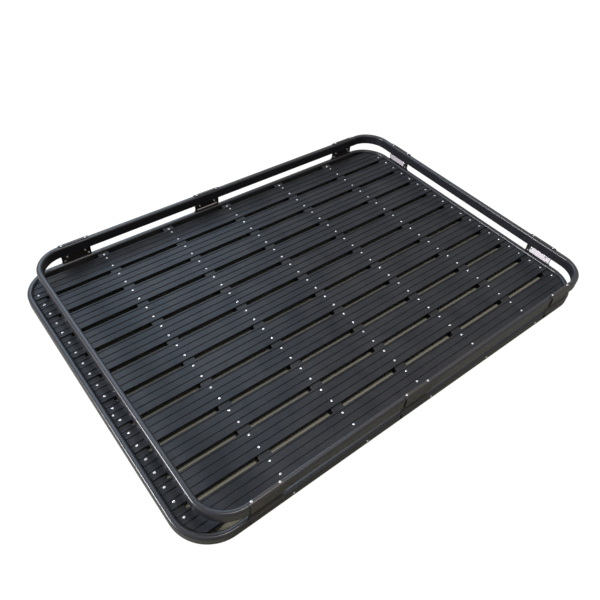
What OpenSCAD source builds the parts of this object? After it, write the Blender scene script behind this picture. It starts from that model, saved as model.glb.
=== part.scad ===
// Open roof basket for a large off-road vehicle, in black powder-coated aluminium.
// +X points to the rear of the vehicle, +Y to its right side and +Z up.
// The origin is at the bottom centre of the whole basket.

/* [Base frame] */
// Length of the base frame over its outer faces
frame_l = 1811; // [1500:1:2200]
// Width of the base frame over its outer faces
frame_w = 1282; // [1260:1:1500]
// Outer corner radius of the base frame, seen from above
base_corner_r = 136; // [60:1:140]
// Height of the base frame tube
base_h = 40; // [38:0.5:60]

/* [Tube] */
// Width of the base frame and rail tube
tube_w = 20; // [18:0.5:26]
// Radius of the long edges of the tube
tube_r = 8; // [4:0.5:8.5]
// Wall of the tube
tube_wall = 2; // [1.5:0.1:3]
// Gap where two lengths of tube meet behind a clamp
splice_gap = 0.4; // [0.2:0.1:1]

/* [Rail] */
// Height of the rail tube
rail_h = 46; // [38:0.5:60]
// Outer corner radius of the rail, seen from above
rail_corner_r = 118; // [60:1:119]
// Clear height between the base frame and the rail
rail_gap = 36; // [30:1:90]
// How far the front of the rail stands behind the front of the base frame
rail_setback = 60; // [0:1:61]

/* [Clamps] */
// Length of a clamp along the tube
clamp_l = 118; // [80:1:120]
// Thickness of the clamp plate
clamp_t = 3; // [2:0.1:5]
// Clearance between a clamp and the tube that it holds
clamp_fit = 0.2; // [0.1:0.05:0.4]
// How far the upper lip reaches over the top of the rail
clamp_lip = 14; // [10:0.5:17]
// How deep the web between the tubes sits behind their outer faces
clamp_inset = 6; // [4:0.5:11]
// Height of the lower edge of a clamp
clamp_foot = 18; // [12:1:30]
// Distance of the front clamps from the front of the base frame
clamp_front = 238; // [237:1:320]
// Distance of the rear side clamps from the rear of the base frame
clamp_rear = 200; // [196:1:260]
// Distance of the middle clamps in front of the middle of the base frame
clamp_mid = 74; // [-60:1:120]
// Distance of the clamps on the rear end from the middle of the basket
clamp_side = 418; // [250:1:440]
// Fillet where the web runs into the two shells
clamp_fillet = 3; // [1:0.5:4]

/* [Crossbars] */
// Number of crossbars between the two end bars
bar_count = 5; // [3:1:5]
// Distance from one crossbar to the next
bar_pitch = 291; // [220:1:310]
// How far the row of crossbars stands behind the middle of the base frame
bar_shift = 10; // [-15:1:15]
// Width of a crossbar
bar_w = 45; // [36:1:60]
// Width of an end bar
end_bar_w = 40; // [30:1:50]
// Height of the crossbars and end bars
bar_h = 25; // [22:0.5:30]
// Height of the underside of the bars above the bottom of the frame
bar_lift = 5; // [2:0.5:8]
// Wall of the bars
bar_wall = 2; // [1.5:0.1:2.5]
// Radius of the long edges of the bars
bar_r = 2.5; // [2.5:0.1:4]

/* [Bolt channel] */
// Width of the open mouth of the channel under a crossbar
mouth_w = 11; // [8:0.5:13]
// Width of the channel inside
channel_w = 20; // [17:0.5:24]
// Height of the channel inside
channel_h = 8; // [6:0.5:9]
// Thickness of the two lips beside the mouth
lip_t = 2.5; // [2:0.1:3.5]

/* [Deck slats] */
// Number of slats
slat_count = 11; // [7:1:11]
// Distance from one slat to the next
slat_pitch = 110; // [96:1:112]
// Width of a slat
slat_w = 91; // [60:1:96]
// Thickness of the floor of a slat between its ribs
slat_t = 2; // [1.5:0.1:3]
// Gap between the end of a slat and the base frame
slat_gap = 2; // [1:0.5:8]
// Number of ribs on a slat
rib_count = 4; // [2:1:5]
// Width of a rib
rib_w = 7.4; // [5:0.1:9]
// Height of a rib above the floor of the slat
rib_h = 2.4; // [1.5:0.1:4]
// Radius of the upper edges of a rib
rib_r = 1.2; // [0.6:0.1:1.4]
// Width of the groove under a rib
groove_w = 3; // [1.5:0.1:3.5]
// Wall left above the groove
groove_wall = 1.8; // [1.5:0.1:2.5]

/* [Hidden] */
$fn = 48;

frame_mid_x = -(clamp_t + clamp_fit) / 2;
front_x = frame_mid_x - frame_l / 2;
rear_x = frame_mid_x + frame_l / 2;
side_y = frame_w / 2;
rail_front_x = front_x + rail_setback;
rail_z = base_h + rail_gap;
deck_z = bar_lift + bar_h;

front_clamp_x = front_x + clamp_front;
mid_clamp_x = frame_mid_x - clamp_mid;
rear_clamp_x = rear_x - clamp_rear;

colour_frame = "#2b2d31";
colour_deck = "#34363b";

// Rectangle with round corners, centred
module rounded(w, h, r) {
    square([w - 2 * r, h], center = true);
    square([w, h - 2 * r], center = true);
    for (x = [-1, 1], y = [-1, 1])
        translate([x * (w / 2 - r), y * (h / 2 - r)]) circle(r);
}

// Section of a tube of height h, across and up, centred
module tube_section(h) {
    difference() {
        rounded(tube_w, h, tube_r);
        rounded(tube_w - 2 * tube_wall, h - 2 * tube_wall, tube_r - tube_wall);
    }
}

// Straight tube along X from x0 to x1, with its outer face on the right side of the basket
module side_tube(x0, x1, h) {
    translate([x0, side_y - tube_w / 2, 0])
        rotate([90, 0, 90]) linear_extrude(x1 - x0) tube_section(h);
}

// Straight tube along Y from y0 to y1, with its middle at x
module end_tube(x, y0, y1, h) {
    translate([x, y1, 0]) rotate([90, 0, 0]) linear_extrude(y1 - y0) tube_section(h);
}

// Quarter bend of outer radius r about its own centre, from the given angle
module bend(angle, r, h) {
    rotate([0, 0, angle]) rotate_extrude(angle = 90, $fn = 96)
        translate([r - tube_w / 2, 0]) tube_section(h);
}

// Front of a ring: the end with both bends, back to the front clamps
module front_hoop(x, r, h) {
    leg_end = front_clamp_x - splice_gap / 2;
    bend_y = side_y - r;
    end_tube(x + tube_w / 2, -bend_y, bend_y, h);
    for (side = [0, 1]) mirror([0, side, 0]) {
        translate([x + r, bend_y, 0]) bend(90, r, h);
        side_tube(x + r, leg_end, h);
    }
}

// One length of the right side, between the middles of two clamps
module side_length(x0, x1, h) {
    side_tube(x0 + splice_gap / 2, x1 - splice_gap / 2, h);
}

// Right rear corner, from the rear side clamp to the clamp on the rear end
module rear_corner(r, h) {
    bend_y = side_y - r;
    side_tube(rear_clamp_x + splice_gap / 2, rear_x - r, h);
    translate([rear_x - r, bend_y, 0]) bend(0, r, h);
    end_tube(rear_x - tube_w / 2, clamp_side + splice_gap / 2, bend_y, h);
}

// Rear end between its two clamps
module rear_length(h) {
    half = clamp_side - splice_gap / 2;
    end_tube(rear_x - tube_w / 2, -half, half, h);
}

// Lifts a piece of tube, centred in height, to middle height z and mirrors it to the left side
module place(z, left = false) {
    color(colour_frame) translate([0, 0, z]) mirror([0, left ? 1 : 0, 0]) children();
}

// Base frame, bent from the rounded tube
module place_base(left = false) { place(base_h / 2, left) children(); }
module base_front_hoop() { place_base() front_hoop(front_x, base_corner_r, base_h); }
module base_right_front() { place_base() side_length(front_clamp_x, mid_clamp_x, base_h); }
module base_right_rear() { place_base() side_length(mid_clamp_x, rear_clamp_x, base_h); }
module base_left_front() { place_base(left = true) side_length(front_clamp_x, mid_clamp_x, base_h); }
module base_left_rear() { place_base(left = true) side_length(mid_clamp_x, rear_clamp_x, base_h); }
module base_corner_right() { place_base() rear_corner(base_corner_r, base_h); }
module base_corner_left() { place_base(left = true) rear_corner(base_corner_r, base_h); }
module base_rear() { place_base() rear_length(base_h); }

// Rail above it, of a taller tube, with its front set back
module place_rail(left = false) { place(rail_z + rail_h / 2, left) children(); }
module rail_front_hoop() { place_rail() front_hoop(rail_front_x, rail_corner_r, rail_h); }
module rail_right_front() { place_rail() side_length(front_clamp_x, mid_clamp_x, rail_h); }
module rail_right_rear() { place_rail() side_length(mid_clamp_x, rear_clamp_x, rail_h); }
module rail_left_front() { place_rail(left = true) side_length(front_clamp_x, mid_clamp_x, rail_h); }
module rail_left_rear() { place_rail(left = true) side_length(mid_clamp_x, rear_clamp_x, rail_h); }
module rail_corner_right() { place_rail() rear_corner(rail_corner_r, rail_h); }
module rail_corner_left() { place_rail(left = true) rear_corner(rail_corner_r, rail_h); }
module rail_rear() { place_rail() rear_length(rail_h); }

// Outline of a tube of height h, grown all round, with its outer face at 0 and its middle at z
module tube_outline(z, h, grow) {
    translate([-tube_w / 2, z])
        rounded(tube_w + 2 * grow, h + 2 * grow, tube_r + grow);
}

// Corner filler with a hollow round, which widens the web where it meets a shell
module web_fillet(x, y) {
    difference() {
        translate([x > 0 ? 0 : -clamp_fillet, y > 0 ? 0 : -clamp_fillet]) square(clamp_fillet);
        translate([x * clamp_fillet, y * clamp_fillet]) circle(clamp_fillet);
    }
}

// Section of a clamp: a shell over the rail, a web and a shell beside the base frame.
// X is across, with the outer face of the tubes at 0, and Y is up.
module clamp_section() {
    grow = clamp_fit + clamp_t;
    base_mid = base_h / 2;
    rail_mid = rail_z + rail_h / 2;
    web_x = -clamp_inset - clamp_t;
    web_low = base_h + grow;
    web_high = rail_z - grow;
    difference() {
        intersection() {
            union() {
                tube_outline(base_mid, base_h, grow);
                tube_outline(rail_mid, rail_h, grow);
                translate([web_x, base_h]) square([clamp_t, rail_gap]);
                translate([web_x + clamp_t, web_low]) web_fillet(1, 1);
                translate([web_x + clamp_t, web_high]) web_fillet(1, -1);
            }
            union() {
                translate([web_x, clamp_foot]) square([tube_w, rail_mid - clamp_foot]);
                translate([-clamp_lip, rail_mid]) square([tube_w + clamp_lip, rail_h]);
            }
        }
        tube_outline(base_mid, base_h, clamp_fit);
        tube_outline(rail_mid, rail_h, clamp_fit);
    }
}

// Clamp on the right side, with its middle at x
module side_clamp(x) {
    translate([x - clamp_l / 2, side_y, 0])
        rotate([90, 0, 90]) linear_extrude(clamp_l) clamp_section();
}

// Clamp on the rear end, to the right of the middle
module end_clamp() {
    translate([rear_x, clamp_side + clamp_l / 2, 0])
        rotate([90, 0, 0]) linear_extrude(clamp_l) clamp_section();
}

// Colours a clamp and mirrors it to the left side
module place_clamp(left = false) {
    color(colour_frame) mirror([0, left ? 1 : 0, 0]) children();
}

module clamp_right_front() { place_clamp() side_clamp(front_clamp_x); }
module clamp_right_mid() { place_clamp() side_clamp(mid_clamp_x); }
module clamp_right_rear() { place_clamp() side_clamp(rear_clamp_x); }
module clamp_left_front() { place_clamp(left = true) side_clamp(front_clamp_x); }
module clamp_left_mid() { place_clamp(left = true) side_clamp(mid_clamp_x); }
module clamp_left_rear() { place_clamp(left = true) side_clamp(rear_clamp_x); }
module clamp_rear_right() { place_clamp() end_clamp(); }
module clamp_rear_left() { place_clamp(left = true) end_clamp(); }

// Space inside the base frame seen from above, less a gap all round
module inside(gap) {
    w = tube_w + gap;
    translate([frame_mid_x, 0, 0])
        linear_extrude(base_h)
            rounded(frame_l - 2 * w, frame_w - 2 * w, base_corner_r - w);
}

// Hollow section of a bar, centred across, with its underside at 0
module bar_section(w) {
    translate([0, bar_h / 2]) difference() {
        rounded(w, bar_h, bar_r);
        square([w - 2 * bar_wall, bar_h - 2 * bar_wall], center = true);
    }
}

// Section of a crossbar, which has a bolt channel open at its underside
module crossbar_section() {
    block_w = channel_w + 2 * bar_wall;
    block_h = lip_t + channel_h + bar_wall;
    difference() {
        union() {
            bar_section(bar_w);
            translate([-block_w / 2, 0]) square([block_w, block_h]);
        }
        translate([-channel_w / 2, lip_t]) square([channel_w, channel_h]);
        translate([-mouth_w / 2, -lip_t]) square([mouth_w, 3 * lip_t]);
    }
}

// Crossbar from one side of the base frame to the other, counted from the front
module crossbar(i) {
    x = frame_mid_x + bar_shift + (i - (bar_count + 1) / 2) * bar_pitch;
    length = frame_w - 2 * tube_w;
    color(colour_frame) translate([x, length / 2, bar_lift])
        rotate([90, 0, 0]) linear_extrude(length) crossbar_section();
}

// End bar inside one end of the base frame, cut to the bends; end is -1 for the front
module end_bar(end) {
    x = frame_mid_x + end * (frame_l / 2 - tube_w - end_bar_w / 2);
    color(colour_frame) intersection() {
        translate([x, side_y, bar_lift])
            rotate([90, 0, 0]) linear_extrude(frame_w) bar_section(end_bar_w);
        inside(0);
    }
}

module end_bar_front() { end_bar(-1); }
module end_bar_rear() { end_bar(1); }

// Section of a rib above the floor of a slat
module rib_section() {
    foot = slat_t / 2;
    rib_top = slat_t + rib_h;
    translate([-rib_w / 2, foot]) square([rib_w, rib_top - rib_r - foot]);
    translate([rib_r - rib_w / 2, foot]) square([rib_w - 2 * rib_r, rib_top - foot]);
    for (x = [-1, 1])
        translate([x * (rib_w / 2 - rib_r), rib_top - rib_r]) circle(rib_r);
}

// Section of a slat, across and up from the bars, with a groove under each rib
module slat_section() {
    rib_pitch = (slat_w - rib_w) / (rib_count - 1);
    rib_places = [for (i = [0 : rib_count - 1]) (i - (rib_count - 1) / 2) * rib_pitch];
    groove_top = slat_t + rib_h - groove_wall;
    difference() {
        union() {
            translate([-slat_w / 2, 0]) square([slat_w, slat_t]);
            for (x = rib_places) translate([x, 0]) rib_section();
        }
        for (x = rib_places)
            translate([x - groove_w / 2, -groove_top]) square([groove_w, 2 * groove_top]);
    }
}

// Slat along the whole deck, counted from the left, cut to the bends of the frame
module slat(i) {
    y = (i - (slat_count + 1) / 2) * slat_pitch;
    color(colour_deck) intersection() {
        translate([front_x, y, deck_z])
            rotate([90, 0, 90]) linear_extrude(frame_l) slat_section();
        inside(slat_gap);
    }
}

base_front_hoop();
base_left_front();
base_left_rear();
base_right_front();
base_right_rear();
base_corner_left();
base_corner_right();
base_rear();
rail_front_hoop();
rail_left_front();
rail_left_rear();
rail_right_front();
rail_right_rear();
rail_corner_left();
rail_corner_right();
rail_rear();
clamp_left_front();
clamp_left_mid();
clamp_left_rear();
clamp_right_front();
clamp_right_mid();
clamp_right_rear();
clamp_rear_left();
clamp_rear_right();
end_bar_front();
end_bar_rear();
crossbar(1);  // crossbar_1
crossbar(2);  // crossbar_2
crossbar(3);  // crossbar_3
crossbar(4);  // crossbar_4
crossbar(5);  // crossbar_5
slat(1);  // slat_01
slat(2);  // slat_02
slat(3);  // slat_03
slat(4);  // slat_04
slat(5);  // slat_05
slat(6);  // slat_06
slat(7);  // slat_07
slat(8);  // slat_08
slat(9);  // slat_09
slat(10);  // slat_10
slat(11);  // slat_11
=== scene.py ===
import math

import bpy
import numpy as np
from mathutils import Matrix, Vector


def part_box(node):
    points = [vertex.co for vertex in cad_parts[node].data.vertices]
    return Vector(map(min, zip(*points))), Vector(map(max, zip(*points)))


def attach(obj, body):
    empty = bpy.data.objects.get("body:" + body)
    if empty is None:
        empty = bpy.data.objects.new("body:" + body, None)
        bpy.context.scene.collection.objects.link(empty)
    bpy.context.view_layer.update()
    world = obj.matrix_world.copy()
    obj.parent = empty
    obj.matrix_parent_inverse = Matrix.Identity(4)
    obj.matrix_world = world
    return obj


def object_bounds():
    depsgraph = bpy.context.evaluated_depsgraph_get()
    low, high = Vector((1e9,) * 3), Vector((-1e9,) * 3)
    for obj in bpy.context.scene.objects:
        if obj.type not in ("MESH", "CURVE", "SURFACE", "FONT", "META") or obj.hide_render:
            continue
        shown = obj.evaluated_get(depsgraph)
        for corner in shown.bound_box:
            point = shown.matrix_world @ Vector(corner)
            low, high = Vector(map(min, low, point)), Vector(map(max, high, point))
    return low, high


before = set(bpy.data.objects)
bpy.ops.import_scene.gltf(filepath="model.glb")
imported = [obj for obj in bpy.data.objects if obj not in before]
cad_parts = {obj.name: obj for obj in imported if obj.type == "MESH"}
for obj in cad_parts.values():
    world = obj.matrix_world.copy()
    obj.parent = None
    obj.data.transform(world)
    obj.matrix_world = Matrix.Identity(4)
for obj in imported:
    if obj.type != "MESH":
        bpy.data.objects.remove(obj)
cadLow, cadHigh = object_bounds()
print("frame loaded:", len(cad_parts), "CAD nodes")

scene = bpy.context.scene
scene.view_settings.view_transform = "Standard"
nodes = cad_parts


# stage: pale floor, white surroundings, soft lamps

floorSettings = {
    "half": 14.0,          # half the side of the floor
    "colour": (0.29, 0.29, 0.235),
    "roughness": 0.9,
    "corner": 0.136,       # radius of the corners of the basket's footprint
    # the glow starts and is full at these distances outside the footprint
    "seenFade": (-0.030, -0.002),      # as the camera sees it
    "mirrorFade": (0.05, 0.40),        # as reflections see it
    "glow": 1.17,
    "glowShare": 0.85,     # the rest is the matt floor, which keeps the shadow
}

worldSettings = {
    "fill": 0.10,          # strength of the white surroundings on matt surfaces
}

lampSettings = {
    # name: place, aim, width, length, watts, colour
    "lampSide": ((0.65, 3.25, 3.94), (0.0, 0.0, 0.0), 2.8, 3.2, 160.0, (0.55, 0.77, 1.0)),
    "lampRear": ((2.46, 0.43, 4.33), (0.0, 0.0, 0.0), 2.6, 2.6, 30.0, (1.0, 0.78, 0.58)),
    "lampOver": ((0.0, -1.05, 4.90), (0.0, 0.0, 0.0), 1.2, 1.2, 142.0, (1.0, 0.93, 0.88)),
    "lampFront": ((-4.2, 1.4, 1.7), (0.0, 0.0, 0.1), 1.5, 0.9, 380.0, (0.97, 0.96, 1.0)),
    "lampNear": ((0.0, -3.8, 1.0), (0.0, -0.6, 0.05), 3.0, 1.0, 8.0, (1.0, 0.78, 0.58)),
}

cameraSettings = {
    "place": (-1.1352, -1.2221, 1.6439),
    "heading": 48.29,      # degrees from +X towards +Y
    "pitch": -45.56,
    "roll": 5.12,
    "lens": 35.58,
    "sensor": 36.0,
}


def newMaterial(name):
    material = bpy.data.materials.new(name)
    material.use_nodes = True
    material.node_tree.nodes.clear()
    return material


def addNode(tree, kind, label=None, **settings):
    # any node, with its plain properties set by name
    node = tree.nodes.new(kind)
    if label:
        node.label = label
    for key, value in settings.items():
        setattr(node, key, value)
    return node


def mathNode(tree, operation, first, second=None, third=None, clamp=False):
    # one sum; each input is a socket or a number
    node = addNode(tree, "ShaderNodeMath", operation=operation, use_clamp=clamp)
    for place, value in enumerate((first, second, third)):
        if value is None:
            continue
        if isinstance(value, (int, float)):
            node.inputs[place].default_value = value
        else:
            tree.links.new(value, node.inputs[place])
    return node.outputs[0]


def seenDirectly(tree):
    # 1 for camera, glossy and transmission rays, 0 for the light that falls on matt surfaces
    path = addNode(tree, "ShaderNodeLightPath")
    sharp = mathNode(tree, "MAXIMUM", path.outputs["Is Camera Ray"], path.outputs["Is Glossy Ray"])
    return mathNode(tree, "MAXIMUM", sharp, path.outputs["Is Transmission Ray"])


def makeWorld():
    world = bpy.data.worlds.new("surroundings")
    scene.world = world
    world.use_nodes = True
    tree = world.node_tree
    tree.nodes.clear()
    shine = addNode(tree, "ShaderNodeBackground", "seen")
    shine.inputs["Color"].default_value = (1, 1, 1, 1)
    shine.inputs["Strength"].default_value = 1.0
    fill = addNode(tree, "ShaderNodeBackground", "fill")
    fill.inputs["Color"].default_value = (1, 1, 1, 1)
    fill.inputs["Strength"].default_value = worldSettings["fill"]
    mix = addNode(tree, "ShaderNodeMixShader")
    tree.links.new(seenDirectly(tree), mix.inputs[0])
    tree.links.new(fill.outputs[0], mix.inputs[1])
    tree.links.new(shine.outputs[0], mix.inputs[2])
    out = addNode(tree, "ShaderNodeOutputWorld")
    tree.links.new(mix.outputs[0], out.inputs["Surface"])


def footprintDistance(tree, position):
    # distance from a rectangle with round corners: the length of the part of |p| past the core
    # rectangle, less the corner radius
    corner = floorSettings["corner"]
    absolute = addNode(tree, "ShaderNodeVectorMath", operation="ABSOLUTE")
    tree.links.new(position, absolute.inputs[0])
    core = addNode(tree, "ShaderNodeVectorMath", operation="SUBTRACT")
    tree.links.new(absolute.outputs[0], core.inputs[0])
    core.inputs[1].default_value = (cadHigh.x - corner, cadHigh.y - corner, 0)
    outside = addNode(tree, "ShaderNodeVectorMath", operation="MAXIMUM")
    tree.links.new(core.outputs[0], outside.inputs[0])
    length = addNode(tree, "ShaderNodeVectorMath", operation="LENGTH")
    tree.links.new(outside.outputs[0], length.inputs[0])
    return mathNode(tree, "SUBTRACT", length.outputs["Value"], corner)


def fadeNode(tree, distance, limits):
    # smooth step of the distance, from 0 at the first limit to 1 at the second
    ramp = addNode(tree, "ShaderNodeMapRange", interpolation_type="SMOOTHSTEP")
    tree.links.new(distance, ramp.inputs["Value"])
    ramp.inputs["From Min"].default_value, ramp.inputs["From Max"].default_value = limits
    return ramp.outputs["Result"]


def floorMaterial():
    # matt and pale under the basket, and glowing white further out for what sees it directly
    material = newMaterial("pale_floor")
    tree = material.node_tree
    place = addNode(tree, "ShaderNodeTexCoord")
    distance = footprintDistance(tree, place.outputs["Object"])
    path = addNode(tree, "ShaderNodeLightPath")
    mirrored = mathNode(
        tree, "MAXIMUM", path.outputs["Is Glossy Ray"], path.outputs["Is Transmission Ray"])
    seen = mathNode(
        tree, "MULTIPLY", path.outputs["Is Camera Ray"],
        fadeNode(tree, distance, floorSettings["seenFade"]))
    reflected = mathNode(
        tree, "MULTIPLY", mirrored, fadeNode(tree, distance, floorSettings["mirrorFade"]))
    matt = addNode(tree, "ShaderNodeBsdfPrincipled")
    matt.inputs["Base Color"].default_value = (*floorSettings["colour"], 1)
    matt.inputs["Roughness"].default_value = floorSettings["roughness"]
    glow = addNode(tree, "ShaderNodeEmission")
    glow.inputs["Strength"].default_value = floorSettings["glow"]
    mix = addNode(tree, "ShaderNodeMixShader")
    share = mathNode(tree, "MAXIMUM", seen, reflected)
    share = mathNode(tree, "MULTIPLY", share, floorSettings["glowShare"])
    tree.links.new(share, mix.inputs[0])
    tree.links.new(matt.outputs[0], mix.inputs[1])
    tree.links.new(glow.outputs[0], mix.inputs[2])
    out = addNode(tree, "ShaderNodeOutputMaterial")
    tree.links.new(mix.outputs[0], out.inputs["Surface"])
    return material


def meshObject(name, points, faces, material, smooth=True):
    mesh = bpy.data.meshes.new(name)
    mesh.from_pydata(points.tolist(), [], faces)
    mesh.polygons.foreach_set("use_smooth", np.full(len(mesh.polygons), smooth))
    mesh.materials.append(material)
    mesh.update()
    piece = bpy.data.objects.new(name, mesh)
    scene.collection.objects.link(piece)
    return piece


def makeFloor():
    # one square at the height of the underside of the frame
    half = floorSettings["half"]
    corners = np.array([[-half, -half, 0], [half, -half, 0], [half, half, 0], [-half, half, 0]])
    floor = meshObject("floor", corners, [(0, 1, 2, 3)], floorMaterial(), smooth=False)


def makeLamps():
    for name, (place, aim, width, length, watts, colour) in lampSettings.items():
        lamp = bpy.data.lights.new(name, "AREA")
        lamp.shape = "RECTANGLE"
        lamp.size, lamp.size_y = width, length
        lamp.energy = watts
        lamp.color = colour
        holder = bpy.data.objects.new(name, lamp)
        holder.location = place
        towards = Vector(aim) - Vector(place)
        holder.rotation_euler = towards.to_track_quat("-Z", "Y").to_euler()
        scene.collection.objects.link(holder)


def makeCamera():
    # forward from heading and pitch; right and up are turned about it by the roll
    heading, pitch, roll = (math.radians(cameraSettings[k]) for k in ("heading", "pitch", "roll"))
    forward = Vector((
        math.cos(pitch) * math.cos(heading), math.cos(pitch) * math.sin(heading), math.sin(pitch)))
    level = forward.cross(Vector((0, 0, 1))).normalized()
    upright = level.cross(forward)
    right = level * math.cos(roll) + upright * math.sin(roll)
    up = right.cross(forward)
    turn = Matrix((right, up, -forward)).transposed()
    data = bpy.data.cameras.new("camera")
    data.sensor_width = cameraSettings["sensor"]
    data.lens = cameraSettings["lens"]
    camera = bpy.data.objects.new("camera", data)
    camera.matrix_world = Matrix.Translation(cameraSettings["place"]) @ turn.to_4x4()
    scene.collection.objects.link(camera)
    scene.camera = camera


makeWorld()
makeFloor()
makeLamps()
makeCamera()
print("stage ready")


# shared shader groups

def newGroup(name, inputs, outputs):
    # inputs: name, socket kind, standing value; outputs: name, socket kind
    group = bpy.data.node_groups.new(name, "ShaderNodeTree")
    for label, kind, value in inputs:
        socket = group.interface.new_socket(label, in_out="INPUT", socket_type=kind)
        if value is not None:
            socket.default_value = value
    for label, kind in outputs:
        group.interface.new_socket(label, in_out="OUTPUT", socket_type=kind)
    return group, addNode(group, "NodeGroupInput"), addNode(group, "NodeGroupOutput")


def noiseNode(tree, vector, scale, detail, roughness):
    noise = addNode(tree, "ShaderNodeTexNoise")
    noise.inputs["Detail"].default_value = detail
    noise.inputs["Roughness"].default_value = roughness
    tree.links.new(vector, noise.inputs["Vector"])
    if isinstance(scale, (int, float)):
        noise.inputs["Scale"].default_value = scale
    else:
        tree.links.new(scale, noise.inputs["Scale"])
    return noise.outputs["Fac"]


def rangeNode(tree, value, start, end, top=1.0):
    # 0 at the start, the top value at the end, straight between and held outside
    node = addNode(tree, "ShaderNodeMapRange", clamp=True)
    tree.links.new(value, node.inputs["Value"])
    node.inputs["From Min"].default_value = start
    node.inputs["From Max"].default_value = end
    node.inputs["To Min"].default_value = 0.0
    node.inputs["To Max"].default_value = top
    return node.outputs["Result"]


def mixColour(tree, factor, first, second):
    node = addNode(tree, "ShaderNodeMix", data_type="RGBA")
    for place, value in ((0, factor), (6, first), (7, second)):
        socket = node.inputs[place]
        if isinstance(value, bpy.types.NodeSocket):
            tree.links.new(value, socket)
        else:
            socket.default_value = value
    return node.outputs[2]


def centredNoise(tree, noise, gain):
    # noise about 0 instead of about a half, times the gain
    return mathNode(tree, "MULTIPLY", mathNode(tree, "SUBTRACT", noise, 0.5), gain)


coatPattern = {
    "cloudScale": 5.0,     # clouds per metre
    "peelShare": 0.3,      # orange peel per metre, as a share of the grain per metre
    "cloudTone": 4.0,      # how much more the clouds change the colour than the roughness
    "sandTone": 0.35,
    "sandRoughness": 0.12,
    "sandHeight": 0.6,
}


def makeCoatGroup():
    # powder coat: broad cloudiness in the colour, orange peel and fine sand in the height
    use = coatPattern
    group, inside, outside = newGroup(
        "powder_coat",
        [("Colour", "NodeSocketColor", None), ("Cloudiness", "NodeSocketFloat", 0.15),
         ("Grain per metre", "NodeSocketFloat", 900.0), ("Roughness", "NodeSocketFloat", 0.4)],
        [("Colour", "NodeSocketColor"), ("Roughness", "NodeSocketFloat"),
         ("Height", "NodeSocketFloat")])
    place = addNode(group, "ShaderNodeTexCoord").outputs["Object"]
    grain = inside.outputs["Grain per metre"]
    cloud = noiseNode(group, place, use["cloudScale"], 3.0, 0.6)
    sand = noiseNode(group, place, grain, 2.0, 0.6)
    peelScale = mathNode(group, "MULTIPLY", grain, use["peelShare"])
    peel = noiseNode(group, place, peelScale, 1.0, 0.4)
    spread = centredNoise(group, cloud, inside.outputs["Cloudiness"])
    speck = centredNoise(group, sand, use["sandTone"])
    change = mathNode(group, "ADD", mathNode(group, "MULTIPLY", spread, use["cloudTone"]), speck)
    gain = mathNode(group, "ADD", 1.0, change)
    tint = addNode(group, "ShaderNodeVectorMath", operation="SCALE")
    group.links.new(inside.outputs["Colour"], tint.inputs[0])
    group.links.new(gain, tint.inputs["Scale"])
    group.links.new(tint.outputs[0], outside.inputs["Colour"])
    rough = mathNode(group, "ADD", inside.outputs["Roughness"], spread)
    rough = mathNode(group, "ADD", rough, centredNoise(group, sand, use["sandRoughness"]))
    group.links.new(rough, outside.inputs["Roughness"])
    height = mathNode(group, "ADD", mathNode(group, "MULTIPLY", sand, use["sandHeight"]), peel)
    group.links.new(height, outside.inputs["Height"])
    return group


rubAndHighlightPattern = {
    "bend": (0.98, 0.80),      # cosine of the turned normal where the rub and painted highlight start and are full
    "patchScale": 60.0,        # patches per metre
    "patch": (0.42, 0.66),     # noise where a patch starts and is full
}


def makeRubAndHighlightGroup():
    # rubbed edges, lighter partly from wear and partly as a painted highlight along rounded edges:
    # where the rounded normal leaves the true one, broken up by noise
    group, inside, outside = newGroup(
        "edge_rub_and_highlight",
        [("Radius", "NodeSocketFloat", 0.001), ("Amount", "NodeSocketFloat", 0.5)],
        [("Mask", "NodeSocketFloat"), ("Normal", "NodeSocketVector")])
    bevel = addNode(group, "ShaderNodeBevel", samples=4)
    group.links.new(inside.outputs["Radius"], bevel.inputs["Radius"])
    true = addNode(group, "ShaderNodeNewGeometry")
    dot = addNode(group, "ShaderNodeVectorMath", operation="DOT_PRODUCT")
    group.links.new(bevel.outputs[0], dot.inputs[0])
    group.links.new(true.outputs["Normal"], dot.inputs[1])
    edge = rangeNode(group, dot.outputs["Value"], *rubAndHighlightPattern["bend"])
    place = addNode(group, "ShaderNodeTexCoord").outputs["Object"]
    noise = noiseNode(group, place, rubAndHighlightPattern["patchScale"], 4.0, 0.7)
    patch = rangeNode(group, noise, *rubAndHighlightPattern["patch"])
    mask = mathNode(group, "MULTIPLY", edge, patch)
    mask = mathNode(group, "MULTIPLY", mask, inside.outputs["Amount"], clamp=True)
    group.links.new(mask, outside.inputs["Mask"])
    group.links.new(bevel.outputs[0], outside.inputs["Normal"])
    return group


dustPattern = {
    "facing": (0.5, 1.0),      # upward part of the normal where the dust starts and is full
    "patchScale": 9.0,
    "patch": (0.35, 0.75),
}


def makeDustGroup():
    # thin dust on what faces up, in soft patches
    group, inside, outside = newGroup(
        "light_dust",
        [("Colour", "NodeSocketColor", None), ("Dust", "NodeSocketColor", None),
         ("Amount", "NodeSocketFloat", 0.1)],
        [("Colour", "NodeSocketColor"), ("Mask", "NodeSocketFloat")])
    facing = addNode(group, "ShaderNodeSeparateXYZ")
    group.links.new(addNode(group, "ShaderNodeNewGeometry").outputs["Normal"], facing.inputs[0])
    up = rangeNode(group, facing.outputs["Z"], *dustPattern["facing"])
    place = addNode(group, "ShaderNodeTexCoord").outputs["Object"]
    noise = noiseNode(group, place, dustPattern["patchScale"], 5.0, 0.65)
    patch = rangeNode(group, noise, *dustPattern["patch"])
    mask = mathNode(group, "MULTIPLY", up, patch)
    mask = mathNode(group, "MULTIPLY", mask, inside.outputs["Amount"], clamp=True)
    mixed = mixColour(group, mask, inside.outputs["Colour"], inside.outputs["Dust"])
    group.links.new(mixed, outside.inputs["Colour"])
    group.links.new(mask, outside.inputs["Mask"])
    return group


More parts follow.
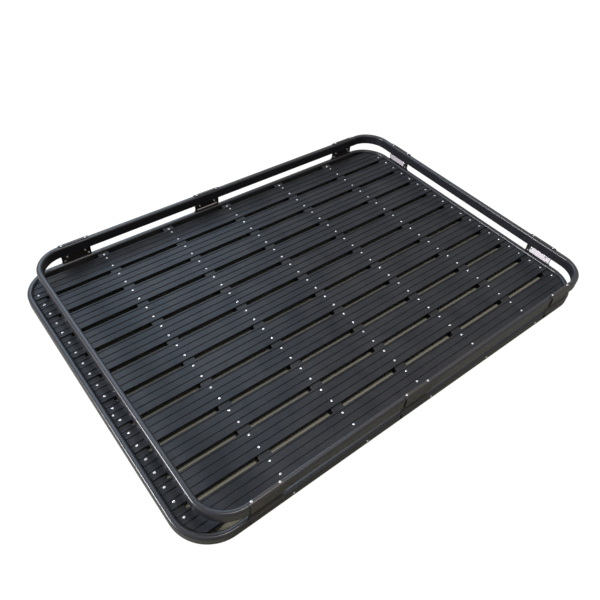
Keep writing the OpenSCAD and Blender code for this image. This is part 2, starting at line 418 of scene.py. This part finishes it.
def makeStreakGroup():
    # die lines of an extrusion: noise squeezed across and stretched along one axis
    group, inside, outside = newGroup(
        "die_lines",
        [("Along", "NodeSocketVector", (1.0, 200.0, 200.0)), ("Strength", "NodeSocketFloat", 0.3)],
        [("Height", "NodeSocketFloat"), ("Tone", "NodeSocketFloat")])
    place = addNode(group, "ShaderNodeTexCoord").outputs["Object"]
    stretch = addNode(group, "ShaderNodeVectorMath", operation="MULTIPLY")
    group.links.new(place, stretch.inputs[0])
    group.links.new(inside.outputs["Along"], stretch.inputs[1])
    lines = noiseNode(group, stretch.outputs[0], 1.0, 3.0, 0.6)
    off = centredNoise(group, lines, inside.outputs["Strength"])
    group.links.new(off, outside.inputs["Height"])
    group.links.new(mathNode(group, "ADD", 1.0, off), outside.inputs["Tone"])
    return group


coatGroup = makeCoatGroup()
rubAndHighlightGroup = makeRubAndHighlightGroup()
dustGroup = makeDustGroup()
streakGroup = makeStreakGroup()


def placeGroup(tree, group, **values):
    # a group in a material; a value is a number, a colour or a socket, and _ stands for a space
    node = addNode(tree, "ShaderNodeGroup", group.name)
    node.node_tree = group
    for key, value in values.items():
        socket = node.inputs[key.replace("_", " ")]
        if isinstance(value, bpy.types.NodeSocket):
            tree.links.new(value, socket)
        else:
            socket.default_value = value
    return node


# finishes

coatSettings = {
    "frame_coat": dict(
        colour=(0.012, 0.0125, 0.016), roughness=0.28, shine=0.30,
        cloud=0.06,            # cloudiness
        grain=900.0,           # per metre
        bump=0.00005,          # in metres
        edge=0.0012,           # radius of a rubbed edge, worn and with a painted highlight
        rubAndHighlight=0.15, dust=0.03,
        lines=None, lineStrength=0.0),     # stretch of the die lines per axis
    "clamp_coat": dict(
        colour=(0.016, 0.0135, 0.0125), roughness=0.36, shine=0.32, cloud=0.08, grain=1000.0,
        bump=0.00005, edge=0.0008, rubAndHighlight=0.35, dust=0.03, lines=None, lineStrength=0.0),
    "bar_coat": dict(
        colour=(0.009, 0.0095, 0.011), roughness=0.42, shine=0.12, cloud=0.08, grain=1000.0,
        bump=0.00005, edge=0.0008, rubAndHighlight=0.20, dust=0.05, lines=(220.0, 1.2, 220.0),
        lineStrength=0.20),
    "slat_coat": dict(
        colour=(0.0116, 0.0130, 0.0164), roughness=0.36, shine=0.10, cloud=0.10, grain=1100.0,
        bump=0.00004, edge=0.0006, rubAndHighlight=0.20, dust=0.06, lines=(1.2, 260.0, 260.0),
        lineStrength=0.30),
}

# lighter colour of rubbed edges: partly wear, partly a painted highlight on the rounded edges
rubAndHighlightColour = (0.20, 0.20, 0.21, 1)
dustColour = (0.22, 0.21, 0.19, 1)


def coatMaterial(name):
    use = coatSettings[name]
    material = newMaterial(name)
    tree = material.node_tree
    coat = placeGroup(tree, coatGroup, Colour=(*use["colour"], 1), Cloudiness=use["cloud"],
                      Grain_per_metre=use["grain"], Roughness=use["roughness"])
    colour, height = coat.outputs["Colour"], coat.outputs["Height"]
    if use["lines"]:
        lines = placeGroup(tree, streakGroup, Along=use["lines"], Strength=use["lineStrength"])
        tone = addNode(tree, "ShaderNodeVectorMath", operation="SCALE")
        tree.links.new(colour, tone.inputs[0])
        tree.links.new(lines.outputs["Tone"], tone.inputs["Scale"])
        colour = tone.outputs[0]
        height = mathNode(tree, "ADD", height, lines.outputs["Height"])
    dust = placeGroup(tree, dustGroup, Colour=colour, Dust=dustColour, Amount=use["dust"])
    rubAndHighlight = placeGroup(tree, rubAndHighlightGroup, Radius=use["edge"], Amount=use["rubAndHighlight"])
    # rubbed edges lightened: partly wear, partly a painted edge highlight
    wornAndHighlit = mixColour(tree, rubAndHighlight.outputs["Mask"], dust.outputs["Colour"], rubAndHighlightColour)
    bump = addNode(tree, "ShaderNodeBump")
    bump.inputs["Strength"].default_value = 1.0
    bump.inputs["Distance"].default_value = use["bump"]
    tree.links.new(height, bump.inputs["Height"])
    tree.links.new(rubAndHighlight.outputs["Normal"], bump.inputs["Normal"])
    shader = addNode(tree, "ShaderNodeBsdfPrincipled")
    shader.inputs["Specular IOR Level"].default_value = use["shine"]
    tree.links.new(wornAndHighlit, shader.inputs["Base Color"])
    tree.links.new(coat.outputs["Roughness"], shader.inputs["Roughness"])
    tree.links.new(bump.outputs[0], shader.inputs["Normal"])
    out = addNode(tree, "ShaderNodeOutputMaterial")
    tree.links.new(shader.outputs[0], out.inputs["Surface"])
    return material


tarnishPattern = {
    "scale": 70.0,             # patches per metre
    "patch": (0.35, 0.75),
    "dulled": 0.45,            # share of the colour that is left
    "grainRoughness": 0.10,    # spread of the roughness
}

metalSettings = {
    # grain is per metre, and bump in metres
    "rivet_metal": dict(
        colour=(0.42, 0.42, 0.44), metallic=1.0, roughness=0.22, tarnish=0.20, grain=2500.0,
        bump=0.00002),
    "screw_metal": dict(
        colour=(0.40, 0.40, 0.41), metallic=1.0, roughness=0.26, tarnish=0.35, grain=2000.0,
        bump=0.00003),
    # the pale plate colour is partly a painted reflection of a bright light; the second plate metal
    # is the same one made darker as painted shade
    "painted_lit_plate_metal": dict(
        colour=(0.85, 0.80, 0.83), metallic=0.2, roughness=0.36, tarnish=0.06, grain=1500.0,
        bump=0.00002),
    "painted_shaded_plate_metal": dict(
        colour=(0.50, 0.46, 0.49), metallic=0.2, roughness=0.36, tarnish=0.10, grain=1500.0,
        bump=0.00002),
}


def metalMaterial(name):
    use = metalSettings[name]
    material = newMaterial(name)
    tree = material.node_tree
    place = addNode(tree, "ShaderNodeTexCoord").outputs["Object"]
    cloud = noiseNode(tree, place, tarnishPattern["scale"], 4.0, 0.6)
    patch = rangeNode(tree, cloud, *tarnishPattern["patch"], top=use["tarnish"])
    dull = tuple(tarnishPattern["dulled"] * c for c in use["colour"])
    shader = addNode(tree, "ShaderNodeBsdfPrincipled")
    shader.inputs["Metallic"].default_value = use["metallic"]
    colour = mixColour(tree, patch, (*use["colour"], 1), (*dull, 1))
    tree.links.new(colour, shader.inputs["Base Color"])
    grain = noiseNode(tree, place, use["grain"], 2.0, 0.6)
    spread = tarnishPattern["grainRoughness"]
    rough = mathNode(tree, "MULTIPLY_ADD", grain, spread, use["roughness"] - spread / 2)
    tree.links.new(mathNode(tree, "ADD", rough, patch), shader.inputs["Roughness"])
    bump = addNode(tree, "ShaderNodeBump")
    bump.inputs["Distance"].default_value = use["bump"]
    tree.links.new(grain, bump.inputs["Height"])
    tree.links.new(bump.outputs[0], shader.inputs["Normal"])
    out = addNode(tree, "ShaderNodeOutputMaterial")
    tree.links.new(shader.outputs[0], out.inputs["Surface"])
    return material


coats = {name: coatMaterial(name) for name in coatSettings}
metals = {name: metalMaterial(name) for name in metalSettings}

finishOf = {"base_": "frame_coat", "rail_": "frame_coat", "clamp_": "clamp_coat",
            "crossbar_": "bar_coat", "end_bar_": "bar_coat", "slat_": "slat_coat"}

for name, node in nodes.items():
    finish = next(finish for start, finish in finishOf.items() if name.startswith(start))
    for holder in node.material_slots:
        holder.material = coats[finish]
print("finishes on", len(nodes), "nodes")


# small turned shapes

def turnedRings(profile, sides, socket=None):
    # ring j is the circle x = r cos t, y = r sin t, z = h; a ring of the socket is a hexagon,
    # r = half width / cos((t mod 60) - 30)
    angles = np.arange(sides) * 2 * math.pi / sides
    radii = np.array([r for r, h in profile])[:, None] * np.ones(sides)
    if socket:
        hexagon = 1 / np.cos(np.mod(angles, math.pi / 3) - math.pi / 6)
        radii[socket] = radii[socket] * hexagon
    heights = np.array([h for r, h in profile])[:, None] * np.ones(sides)
    return np.stack((radii * np.cos(angles), radii * np.sin(angles), heights), axis=-1)


def ringFaces(rings, sides, copies=1):
    # quads between each ring and the next, and one flat face that closes each end; for copy n
    # every index is moved on by n times the points of one shape
    j, i = np.meshgrid(np.arange(rings - 1), np.arange(sides), indexing="ij")
    near, far = j * sides, (j + 1) * sides
    following = (i + 1) % sides
    quads = np.stack((near + i, near + following, far + following, far + i), axis=-1).reshape(-1, 4)
    ends = np.stack((np.arange(sides)[::-1], (rings - 1) * sides + np.arange(sides)))
    starts = np.arange(copies)[:, None, None] * rings * sides
    quads = (starts + quads).reshape(-1, 4)
    ends = (starts + ends).reshape(-1, sides)
    return quads.tolist() + ends.tolist()


def standingFrames(normals, twists):
    # for each place a turn that takes z to the normal, after a twist about z
    up = np.asarray(normals, float)
    helper = np.where(np.abs(up[:, 2:3]) > 0.5, [[1.0, 0.0, 0.0]], [[0.0, 0.0, 1.0]])
    side = np.cross(helper, up)
    side /= np.linalg.norm(side, axis=1, keepdims=True)
    other = np.cross(up, side)
    c, s = np.cos(twists)[:, None], np.sin(twists)[:, None]
    return np.stack((side * c + other * s, other * c - side * s, up), axis=-1)


def scatter(name, rings, places, normals, material, seed):
    # copies of one turned shape at every place, in one mesh: p = place + turn * shape
    count, sides = rings.shape[:2]
    shape = rings.reshape(-1, 3)
    places = np.asarray(places, float)
    twists = np.random.default_rng(seed).uniform(0, 2 * math.pi, len(places))
    frames = standingFrames(normals, twists)
    points = np.einsum("nij,mj->nmi", frames, shape) + places[:, None, :]
    faces = ringFaces(count, sides, len(places))
    piece = meshObject(name, points.reshape(-1, 3), faces, material)
    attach(piece, "root")
    return piece


# rivets and screws

rivetSettings = {
    "radius": 0.0044,
    "height": 0.0016,
    "recess": 0.0014,      # radius of the hole that the mandrel leaves
    "apart": 0.053,        # the two rivets of a slat on one bar
    "offset": 0.0023,      # of the pair from the middle of the slat
    "extra": (-0.8777, -0.1067),       # one more rivet on the front end bar
    "sunk": 0.0003,
    "plate": 0.002,        # thickness of a slat between its ribs
    "slopes": (math.pi / 2, 1.25, 0.85, 0.5),      # angles from the crown, rim first
    "crown": ((1.15, 0.97), (0.9, 0.55)),          # shares of the recess and of the height
    "foot": 0.9,           # share of the radius at the sunk foot
    "sides": 14,
}


def rivetShape():
    # a low dome r = R sin a, z = h cos a, with a small flat well in its crown
    use = rivetSettings
    r, h, hole = use["radius"], use["height"], use["recess"]
    slope = [(r * math.sin(a), h * math.cos(a)) for a in use["slopes"]]
    crown = [(hole * across, h * up) for across, up in use["crown"]]
    profile = [(r * use["foot"], -use["sunk"])] + slope + crown
    return turnedRings(profile, use["sides"])


slatBoxes = [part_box(name) for name in sorted(nodes) if name.startswith("slat_")]
slatMiddles = [(low.y + high.y) / 2 for low, high in slatBoxes]
valleyTop = slatBoxes[0][0].z + rivetSettings["plate"]


def barMiddle(name):
    low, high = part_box(name)
    return (low.x + high.x) / 2


crossbarNames = sorted(name for name in nodes if name.startswith("crossbar_"))
barNames = ["end_bar_front"] + crossbarNames + ["end_bar_rear"]


def makeRivets():
    # two for each slat on each bar; the end bars stop short of the outer rivets of the outer slats
    shape = rivetShape()
    half = rivetSettings["apart"] / 2
    last = len(slatMiddles) - 1
    for seed, bar in enumerate(barNames):
        x = barMiddle(bar)
        atEnd = bar.startswith("end_bar")
        places = []
        for i, y in enumerate(slatMiddles):
            for side in (-1, 1):
                outer = (i == 0 and side < 0) or (i == last and side > 0)
                if not (atEnd and outer):
                    places.append((x, y + rivetSettings["offset"] + side * half, valleyTop))
        if bar == "end_bar_front":
            places.append((*rivetSettings["extra"], valleyTop))
        ups = [(0, 0, 1)] * len(places)
        scatter(f"rivets_{bar}", shape, places, ups, metals["rivet_metal"], seed)


screwSettings = {
    "radius": 0.0060,
    "height": 0.0032,
    "head": ((1.0, 0.0), (1.0, 0.25), (0.93, 0.62), (0.74, 0.92), (0.52, 1.0)),    # of both
    "foot": 0.94,          # share of the radius at the sunk foot
    "socket": 0.0020,      # half the width across the flats
    "socketRim": (1.06, 0.12),     # width of its rim, and depth of the rim as a share of the height
    "depth": 0.0018,
    "sunk": 0.0003,
    "sides": 24,
}


def screwShape(scale=1.0):
    # button head: rim, rounded shoulder and flat crown as shares of radius and height, then a
    # six-sided socket whose rings have the half width s
    use = screwSettings
    r, h, s, d = (use[k] * scale for k in ("radius", "height", "socket", "depth"))
    rim, rimDepth = use["socketRim"]
    head = [(r * use["foot"], -use["sunk"])] + [(r * across, h * up) for across, up in use["head"]]
    socket = [(s * rim, h), (s, h - rimDepth * h), (s, h - d)]
    return turnedRings(head + socket, use["sides"], socket=slice(len(head), None))


clampScrewSettings = {
    "lipAlong": 0.048,     # places along the clamp, from its middle
    "lipIn": 0.0135,       # from the outer face of the clamp
    "webIn": 0.0122,       # inner face of the web, from the outer face of the clamp
    "webUpper": (0.0365, 0.0648, 0.78),        # along, height, scale
    "webLower": (0.0470, 0.0480, 0.62),
    "lipScale": 0.72,
    "lipSeed": 20,
    "webSeed": 40,
}

clampNames = [name for name in nodes if name.startswith("clamp_")]


def clampAxes(name):
    # middle of the clamp on its outer face, outward direction, direction along the tube, top
    low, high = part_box(name)
    middle = (low + high) / 2
    if name.startswith("clamp_rear"):
        return Vector((high.x, middle.y, 0)), Vector((1, 0, 0)), Vector((0, 1, 0)), high.z
    side = 1 if name.startswith("clamp_right") else -1
    face = Vector((middle.x, high.y if side > 0 else low.y, 0))
    return face, Vector((0, side, 0)), Vector((1, 0, 0)), high.z


def makeClampScrews():
    use = clampScrewSettings
    for seed, name in enumerate(clampNames):
        face, outward, along, lipTop = clampAxes(name)
        row = face - outward * use["lipIn"] + Vector((0, 0, lipTop))
        lip = [row + along * (s * use["lipAlong"]) for s in (-1, 1)]
        scatter(f"lip_screws_{name}", screwShape(use["lipScale"]), lip, [(0, 0, 1)] * 2,
                metals["screw_metal"], use["lipSeed"] + seed)
        for level, metal in (("Upper", "rivet_metal"), ("Lower", "screw_metal")):
            reach, height, scale = use["web" + level]
            row = face - outward * use["webIn"] + Vector((0, 0, height))
            web = [row + along * (s * reach) for s in (-1, 1)]
            scatter(f"{level.lower()}_web_screws_{name}", screwShape(scale), web,
                    [tuple(-outward)] * 2, metals[metal], use["webSeed"] + seed)


barScrewSettings = {
    "fromSide": 0.0170,    # top screw, from the end of the crossbar
    "boltHeight": 0.0200,  # bolt in the outer face of the frame
    "topScale": 0.85,
    "boltScale": 0.8,
    "topSeed": 60,
    "boltSeed": 80,
}


def makeBarScrews():
    use = barScrewSettings
    top, bolt = screwShape(use["topScale"]), screwShape(use["boltScale"])
    sideLow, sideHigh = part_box("base_left_front")[0].y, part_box("base_right_front")[1].y
    for seed, bar in enumerate(crossbarNames):
        low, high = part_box(bar)
        x = barMiddle(bar)
        tops = [(x, low.y + use["fromSide"], high.z), (x, high.y - use["fromSide"], high.z)]
        scatter(f"end_screws_{bar}", top, tops, [(0, 0, 1)] * 2,
                metals["rivet_metal"], use["topSeed"] + seed)
        bolts = [(x, sideLow, use["boltHeight"]), (x, sideHigh, use["boltHeight"])]
        scatter(f"side_bolts_{bar}", bolt, bolts, [(0, -1, 0), (0, 1, 0)],
                metals["screw_metal"], use["boltSeed"] + seed)


makeRivets()
makeClampScrews()
makeBarScrews()
print("rivets, screws and bolts made")


# bare plates on the webs of three clamps, their pale colour partly a painted reflection: a lit and
# a darker painted-shade copy on the two rear clamps, and on the third a thin pale strip that is a
# painted highlight

plateSettings = {
    "thick": 0.0008,
    "corner": 0.003,
    "roundness": 0.0003,
    "sunk": 0.0002,
    "sides": 48,
    "plates": {
        # clamp: length, height, middle above the floor, offset along the clamp, metal
        # rear plates: bare plates whose pale colour is partly a painted reflection, lit on one
        # clamp and darker as painted shade on the other
        "clamp_rear_left": (0.0980, 0.0265, 0.0580, -0.0090, "painted_lit_plate_metal"),
        "clamp_rear_right": (0.0920, 0.0225, 0.0585, 0.0095, "painted_shaded_plate_metal"),
        # a thin pale strip that paints the highlight along the top of the clamp's shell
        "clamp_right_mid": (0.0880, 0.0055, 0.0480, 0.0, "painted_lit_plate_metal"),
    },
}


def plateRings(length, height):
    # rounded rectangle by angle: the core rectangle's corner plus the corner circle, and each
    # ring is that outline drawn in by its first number, at the depth of its second
    use = plateSettings
    corner = min(use["corner"], 0.45 * height)
    angles = (np.arange(use["sides"]) + 0.5) * 2 * math.pi / use["sides"]
    direction = np.stack((np.cos(angles), np.sin(angles)), axis=-1)
    outline = np.sign(direction) * (np.array([length, height]) / 2 - corner) + direction * corner
    e, t = use["roundness"], use["thick"]
    rings = [(0.0, -use["sunk"]), (0.0, t - e), (e * 0.4, t - e * 0.3), (e, t)]
    depth = np.ones(len(angles))
    return np.stack([np.column_stack((outline - direction * draw, depth * z)) for draw, z in rings])


def makePlates():
    # each plate is turned so that its depth faces inwards: p = place + turn * ring
    for name, (length, height, middle, offset, metal) in plateSettings["plates"].items():
        rings = plateRings(length, height)
        face, outward, along, lipTop = clampAxes(name)
        place = face - outward * clampScrewSettings["webIn"] + along * offset
        place += Vector((0, 0, middle))
        sideways = Vector((0, 0, 1)).cross(outward)
        turn = np.column_stack((sideways, (0, 0, 1), -outward))
        points = rings.reshape(-1, 3) @ turn.T + np.array(place)
        faces = ringFaces(*rings.shape[:2])
        piece = meshObject(f"web_plate_and_painted_highlight_{name}", points, faces, metals[metal], smooth=False)
        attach(piece, "root")


makePlates()
print("bare plates made")
